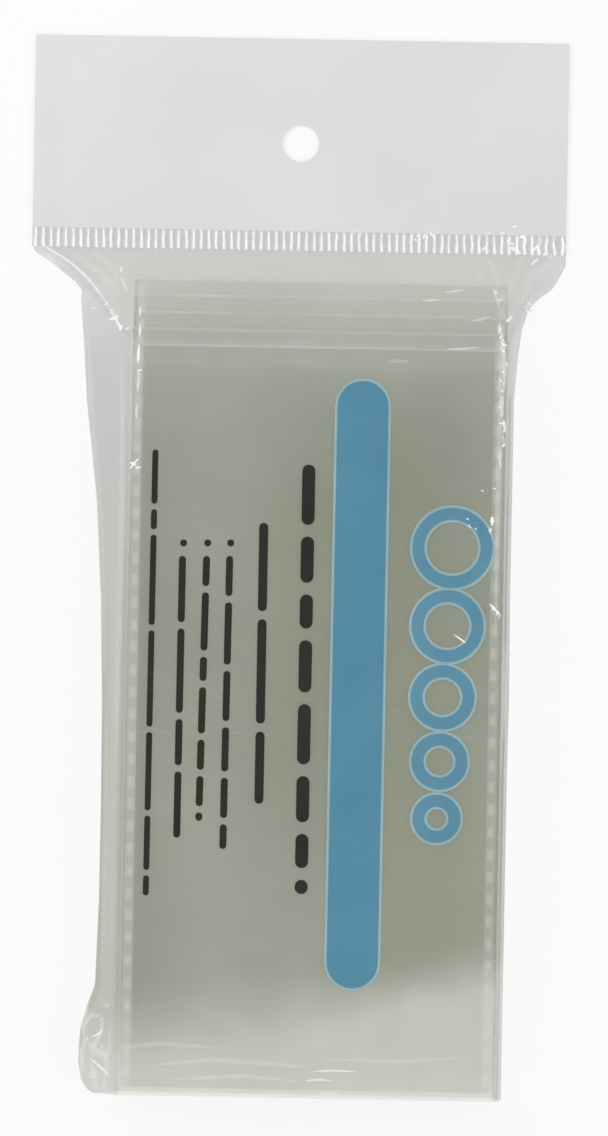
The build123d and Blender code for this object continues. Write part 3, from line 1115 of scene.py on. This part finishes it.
# Soft folds carry painted soft reflections along the slack sides, the shoulders and the foot
SOFT_FOLDS = (
    (7.0, 0.06, (89, 330), (91, 400), (97, 470), (102, 560), (105, 680)),
    (6.0, 0.05, (121, 350), (123, 420), (122, 520), (119, 640), (116, 780)),
    (5.0, 0.05, (106, 700), (106, 800), (104, 900), (102, 980)),
    (4.0, 0.04, (510, 380), (508, 520), (505, 700), (501, 900), (497, 1050)),
    (6.0, 0.06, (486, 256), (494, 266), (498, 280), (495, 294)),
    (8.0, 0.06, (522, 255), (518, 270), (512, 285), (504, 300)),
    (6.0, 0.06, (540, 262), (532, 275), (523, 288)),
    (5.0, 0.05, (470, 262), (480, 274), (486, 288)),
    (7.0, 0.05, (62, 248), (84, 260), (104, 276), (118, 294)),
    (6.0, 0.05, (92, 250), (106, 262), (118, 276)),
    (5.0, 0.03, (150, 1064), (210, 1058), (270, 1062), (310, 1066)),
    (4.0, 0.03, (170, 1078), (240, 1074), (300, 1080)),
    (4.0, 0.03, (330, 1058), (400, 1060), (460, 1056)),
    (5.0, 0.03, (120, 1046), (160, 1042), (215, 1046)),
    (5.0, 0.03, (499, 340), (500, 400), (498, 470), (496, 560), (495, 640)),
    (4.0, 0.02, (389, 362), (398, 361.5), (408, 362)),
)
# Warm folds carry warm painted highlights
WARM_FOLDS = (
    (1.7, 0.03, (422, 301), (431, 300.5), (440, 300)),
    (2.2, 0.03, (312, 1070), (330, 1069), (356, 1070)),
    (2.2, 0.03, (306, 1079), (318, 1078), (332, 1079)),
    (1.6, 0.02, (316, 1092), (328, 1091.5), (340, 1092)),
)
CRUMPLES = (
    (115, 318, 4.4), (121, 329, 3.4), (112, 312, 2.6), (121, 269, 3.2), (106, 304, 2.0),
    (118, 324, 2.2), (128, 329, 2.4), (94, 308, 2.0), (134, 464, 3.2), (138, 468, 2.4), (140, 371, 2.4),
    (509, 319, 4.4), (499, 330, 3.4), (503, 345, 3.2), (503, 352, 2.6), (506, 365, 2.4),
    (500, 338, 2.2), (526, 309, 3.6), (531, 310, 3.2), (529, 303, 2.4), (496, 292, 2.4),
    (500, 300, 2.0), (467, 519, 3.0), (469, 525, 2.4), (475, 529, 3.0), (491, 520, 2.6),
    (489, 531, 2.6), (493, 608, 2.6), (497, 613, 2.4), (501, 424, 2.6), (504, 431, 2.4),
    (503, 446, 2.4), (482, 491, 2.0), (494, 489, 1.8), (536, 261, 4.4), (545, 254, 2.6),
    (551, 255, 2.0), (524, 236, 4.0), (526, 241, 2.4), (515, 226, 2.6), (516, 248, 4.0),
    (513, 243, 2.4), (520, 252, 2.4), (424, 236, 3.0), (419, 234, 2.4), (416, 239, 2.0),
    (432, 234, 2.6), (484, 248, 2.4), (488, 251, 2.0), (490, 232, 2.2), (503, 232, 2.2),
    (508, 240, 2.0), (355, 231, 2.0), (361, 233, 1.8), (352, 237, 1.6), (102, 1045, 1.8),
    (94, 1076, 1.8), (88, 1038, 1.7), (502, 341, 1.8), (503, 373, 2.0), (500, 381, 1.8),
    (502, 392, 1.8), (499, 408, 1.6), (501, 416, 1.6),
)
for name, folds, finish in (
    ("film_folds_bright", BRIGHT_FOLDS, FOLD_WHITE),
    ("film_folds_pale", PALE_FOLDS, FOLD_PALE),
    ("film_folds_soft", SOFT_FOLDS, FOLD_SOFT),
    ("film_folds_warm", WARM_FOLDS, FOLD_WARM),
):
    add_print(name, [fold_ridge(*fold) for fold in folds], finish)
# The crumpled spots are painted white glints on the film
spots = [crumple((px, py), size, seed) for seed, (px, py, size) in enumerate(CRUMPLES)]
add_print("film_crumples", spots, FOLD_WHITE)

# Floor, light and camera
FLOOR_GLOW = 0.72
AMBIENT = 0.5
WHITE = (1.0, 1.0, 1.0, 1.0)


def seen_rays(tree):
    """One for rays from the camera, a gloss or a clear surface, and else nought."""
    path = tree.nodes.new("ShaderNodeLightPath")
    value = path.outputs["Is Camera Ray"]
    for ray in ("Is Glossy Ray", "Is Transmission Ray"):
        value = maths(tree, "MAXIMUM", value, path.outputs[ray])
    return value


def show_mix(tree, factor, first, second, output):
    """Sends a mix of two shaders to the output of a node tree."""
    mix = tree.nodes.new("ShaderNodeMixShader")
    set_inputs(tree, mix, {"Fac": factor, 1: first.outputs[0], 2: second.outputs[0]})
    set_inputs(tree, tree.nodes[output], {"Surface": mix.outputs[0]})


def white_floor(name):
    """Pale floor: paper white to the camera and in gloss, and it still takes the shadow."""
    material, tree, shader = new_material(name)
    field = noise_field(tree, 40.0)
    tint = mixed_colour(tree, field, (0.90, 0.90, 0.90), (0.93, 0.93, 0.93))
    set_inputs(tree, shader, {"Base Color": tint, "Roughness": 0.9, "Specular IOR Level": 0.0})
    share = maths(tree, "MULTIPLY", seen_rays(tree), FLOOR_GLOW)
    show_mix(tree, share, shader, tree.nodes.new("ShaderNodeEmission"), "Material Output")
    return material


FLOOR_REACH = 30.0
FLOOR_DROP = 0.00005
floor_mesh = bpy.data.meshes.new("floor")
floor_corners = [(x * FLOOR_REACH, y * FLOOR_REACH, 0) for x, y in ((-1, -1), (1, -1), (1, 1), (-1, 1))]
floor_mesh.from_pydata(floor_corners, [], [(0, 1, 2, 3)])
floor_mesh.materials.append(white_floor("floor_white"))
floor = bpy.data.objects.new("floor", floor_mesh)
floor.location.z = -FLOOR_DROP
scene.collection.objects.link(floor)

world = bpy.data.worlds.new("studio")
scene.world = world
world.use_nodes = True
tree = world.node_tree
ambient = tree.nodes["Background"]
set_inputs(tree, ambient, {"Color": WHITE, "Strength": AMBIENT})
backdrop = tree.nodes.new("ShaderNodeBackground")
set_inputs(tree, backdrop, {"Color": WHITE, "Strength": 1.0})
show_mix(tree, seen_rays(tree), ambient, backdrop, "World Output")


def add_panel(name, place, size, power):
    """A soft studio panel aimed at the middle of the pack."""
    lamp = bpy.data.lights.new(name, "AREA")
    lamp.shape = "RECTANGLE"
    lamp.size, lamp.size_y = size
    lamp.energy = power
    panel = bpy.data.objects.new(name, lamp)
    panel.location = place
    panel.rotation_euler = (-Vector(place)).to_track_quat("-Z", "Y").to_euler()
    scene.collection.objects.link(panel)


add_panel("key_panel", (-0.55, 0.25, 0.85), (0.7, 0.7), 5.0)
add_panel("fill_panel", (0.65, -0.35, 0.8), (0.8, 0.8), 3.0)

camera_data = bpy.data.cameras.new("camera")
camera_data.sensor_width = SENSOR
camera_data.lens = SENSOR * CAMERA_DISTANCE / (IMAGE_HEIGHT * MM_PER_PIXEL)
camera_data.clip_end = 100.0
camera = bpy.data.objects.new("camera", camera_data)
centre_x, centre_y = pack_point(IMAGE_WIDTH / 2, IMAGE_HEIGHT / 2)
camera.location = (centre_x * MM, centre_y * MM, (FOCUS_HEIGHT + CAMERA_DISTANCE) * MM)
camera.rotation_euler = (0.0, 0.0, ROLL)
scene.collection.objects.link(camera)
scene.camera = camera
